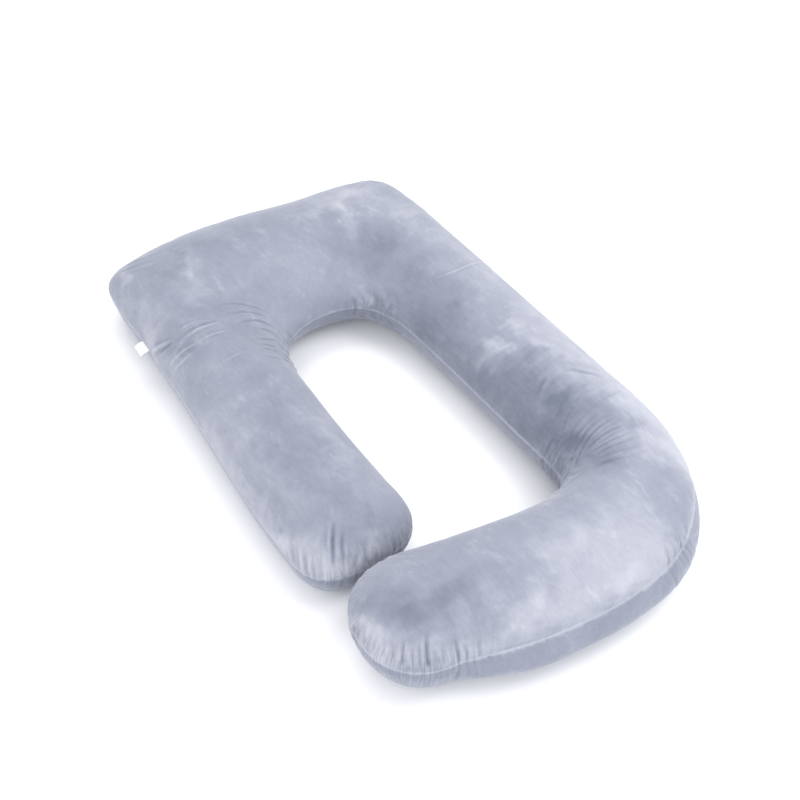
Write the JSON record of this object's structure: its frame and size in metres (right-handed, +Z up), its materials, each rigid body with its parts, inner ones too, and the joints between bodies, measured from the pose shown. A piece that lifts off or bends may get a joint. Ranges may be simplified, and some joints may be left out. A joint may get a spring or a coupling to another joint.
{
  "type": "pregnancy body pillow",
  "caption": "Full-length filled body pillow in short-pile velvet: a short arm, a wide head section, a long arm and a foot that hooks back, with a narrow slot between the arms.",
  "frame": {"origin": "middle of the pillow's box, on the surface it lies on", "axes": "+Y along the arms towards the head section, +X from the short arm to the long arm, +Z up"},
  "size_m": [0.844, 1.4606, 0.1904],
  "materials": {
    "velvet": "short brushed pile, matte with a soft sheen",
    "label_tape": "smooth woven tape"
  },
  "bodies": {
    "root": {"pillow": "velvet", "label": "label_tape"}
  },
  "joints": []
}
